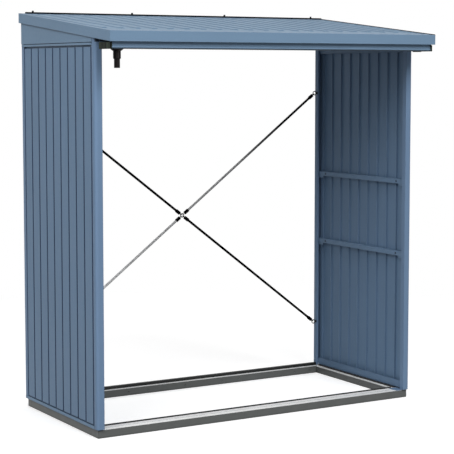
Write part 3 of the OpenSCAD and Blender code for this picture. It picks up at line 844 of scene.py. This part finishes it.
ring_low, ring_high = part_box("brace_ring")
# The upper-left and lower-right runs take the rope's near-black copy, painted shade; the other two
# take steel
for corner, rope_material in (
    ("upper_left", rope_in_painted_shade),
    ("lower_right", rope_in_painted_shade),
    ("lower_left", materials["steel_rope"]),
    ("upper_right", materials["steel_rope"]),
):
    brace(corner, rope_material, (ring_low + ring_high) / 2)


# Fixings


def screw_head(mesh, place, direction, radius):
    """A washer with a chamfered hexagon head on it, standing on place."""
    for shares, sides in ((WASHER, WASHER_SIDES), (HEAD, HEAD_SIDES)):
        profile = [(radius * height, radius * width) for height, width in shares]
        lathe(mesh, profile, facing(place, direction), sides)


def screws(name, places, direction, radius=SCREW_RADIUS):
    """One piece with a screw head at each place."""
    mesh = bmesh.new()
    for place in places:
        screw_head(mesh, Vector(place), Vector(direction), radius)
    finish_piece(mesh, name, screw_finish, smooth=False)


def stiffener_screws(side, level):
    """Two screws through the inner flange of a stiffener, into the cleats behind it."""
    low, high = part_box(f"{side}_{level}_stiffener")
    inner_x = low.x if side == "right" else high.x
    storeward = (-1, 0, 0) if side == "right" else (1, 0, 0)
    z = high.z - STIFFENER_SCREW_DROP
    ends = (low.y + STIFFENER_SCREW_INSET, high.y - STIFFENER_SCREW_INSET)
    places = [(inner_x, y, z) for y in ends]
    screws(f"{side}_{level}_stiffener_screws", places, storeward, STIFFENER_SCREW_RADIUS)


def post_screws(side):
    """Screws through the rear face of a rear post, into the rails and stiffeners."""
    low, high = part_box(f"{side}_rear_post")
    x = (low.x + high.x) / 2
    levels = [low.z + POST_SCREW_RISE, high.z - POST_SCREW_DROP]
    for level in ("lower", "upper"):
        stiffener_low, stiffener_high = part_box(f"{side}_{level}_stiffener")
        levels.append((stiffener_low.z + stiffener_high.z) / 2)
    screws(f"{side}_rear_post_screws", [(x, high.y, z) for z in levels], REARWARD)


def beam_screws():
    """Screws through the ends of the rear beam."""
    low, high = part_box("rear_beam")
    ends = (low.x + BEAM_SCREW_INSET, high.x - BEAM_SCREW_INSET)
    places = [(x, high.y, high.z - BEAM_SCREW_DROP) for x in ends]
    screws("rear_beam_screws", places, REARWARD)


def trim_screws():
    """Screws along the rear trim."""
    low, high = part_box("rear_trim")
    z = (low.z + high.z) / 2
    pitch = (high.x - low.x - 2 * TRIM_SCREW_INSET) / (TRIM_SCREWS - 1)
    places = [
        (low.x + TRIM_SCREW_INSET + index * pitch, high.y, z) for index in range(TRIM_SCREWS)
    ]
    screws("rear_trim_screws", places, REARWARD)


def verge_bead():
    """A thin black bead on the outer edge of the right verge, down the roof: painted shade along
    that edge.
    """
    vertices = frame["nodes"]["right_verge_trim"].data.vertices
    low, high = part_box("right_verge_trim")
    ends = []
    for y in (low.y, high.y):
        top = max(vertex.co.z for vertex in vertices if abs(vertex.co.y - y) < BEAD_END_REACH)
        ends.append(Vector((high.x - BEAD_RADIUS, y, top)))
    mesh = bmesh.new()
    path = [ends[0].lerp(ends[1], share) for share in BEAD_STEPS]
    tube(mesh, path, BEAD_RADIUS, ROUND_SIDES, Vector((1, 0, 0)))
    finish_piece(mesh, "right_verge_shade_bead", materials["black_rubber"])


for side in ("left", "right"):
    for level in ("lower", "upper"):
        stiffener_screws(side, level)
    post_screws(side)
beam_screws()
trim_screws()
verge_bead()


# Studio


def seen_as_white(tree):
    """1 for camera, glossy and transmission rays, and 0 for the rays that light the store."""
    path = add_node(tree, "ShaderNodeLightPath")
    seen = math_node(tree, "ADD", path.outputs["Is Camera Ray"], path.outputs["Is Glossy Ray"])
    return math_node(tree, "ADD", seen, path.outputs["Is Transmission Ray"], clamp=True)


def make_sky():
    """A dark studio that looks plain white to the camera and in reflections."""
    world = bpy.data.worlds.new("studio_sky")
    bpy.context.scene.world = world
    tree = empty_tree(world)
    dark = add_node(tree, "ShaderNodeBackground", {"Color": WHITE, "Strength": 0.0})
    white = add_node(tree, "ShaderNodeBackground", {"Color": WHITE, "Strength": 1.0})
    inputs = {0: seen_as_white(tree), 1: dark.outputs[0], 2: white.outputs[0]}
    mix = add_node(tree, "ShaderNodeMixShader", inputs)
    add_node(tree, "ShaderNodeOutputWorld", {"Surface": mix.outputs[0]})


def floor_material():
    """Pale near the store, where shadows show, and white like the sky further out."""
    material = bpy.data.materials.new("studio_floor")
    tree = empty_tree(material)
    seen = seen_as_white(tree)
    away = add_node(
        tree, "ShaderNodeVectorMath", {0: object_place(tree)}, operation="LENGTH"
    ).outputs["Value"]
    near = mapped(tree, away, FLOOR_FADE, (1.0, 0.0))
    lit = mix_colours(tree, near, BLACK, FLOOR_SEEN)
    colour = mix_colours(tree, seen, FLOOR_BOUNCE, lit)
    diffuse = add_node(tree, "ShaderNodeBsdfDiffuse", {"Color": colour})
    strength = product(tree, seen, mapped(tree, near, (0.0, 1.0), (1.0, FLOOR_GLOW)))
    glow = add_node(tree, "ShaderNodeEmission", {"Color": WHITE, "Strength": strength})
    total = add_node(tree, "ShaderNodeAddShader", {0: diffuse.outputs[0], 1: glow.outputs[0]})
    add_node(tree, "ShaderNodeOutputMaterial", {"Surface": total.outputs[0]})
    return material


def make_floor():
    """A floor that keeps the store's shadow and fades into the sky."""
    mesh = bmesh.new()
    bmesh.ops.create_grid(mesh, x_segments=1, y_segments=1, size=FLOOR_SIZE / 2)
    data = bpy.data.meshes.new("floor")
    mesh.to_mesh(data)
    mesh.free()
    data.materials.append(floor_material())
    floor = bpy.data.objects.new("floor", data)
    floor.location.z = -FLOOR_DROP
    bpy.context.scene.collection.objects.link(floor)


def soft_box(name, direction, power, glints):
    """A square soft box in that direction from the store, facing it and not seen itself."""
    data = bpy.data.lights.new(name, "AREA")
    data.shape = "SQUARE"
    data.size = BOX_SIZE
    data.energy = power
    away = Vector(direction).normalized()
    light = bpy.data.objects.new(name, data)
    light.location = BOX_AIM + BOX_DISTANCE * away
    light.rotation_euler = away.to_track_quat("Z", "Y").to_euler()
    light.visible_camera = False
    light.visible_glossy = glints
    bpy.context.scene.collection.objects.link(light)


def make_camera():
    """The photograph's camera."""
    data = bpy.data.cameras.new("camera")
    data.lens = CAMERA_LENS
    data.sensor_width = CAMERA_SENSOR
    data.shift_y = CAMERA_SHIFT_Y
    camera = bpy.data.objects.new("camera", data)
    camera.location = CAMERA_PLACE
    camera.rotation_euler = (math.pi / 2 - CAMERA_PITCH_DOWN, 0.0, CAMERA_YAW)
    bpy.context.scene.collection.objects.link(camera)
    bpy.context.scene.camera = camera


make_sky()
make_floor()
for name, (direction, power, glints) in SOFT_BOXES.items():
    soft_box(name, direction, power, glints)
make_camera()
bpy.context.scene.view_settings.view_transform = "Standard"
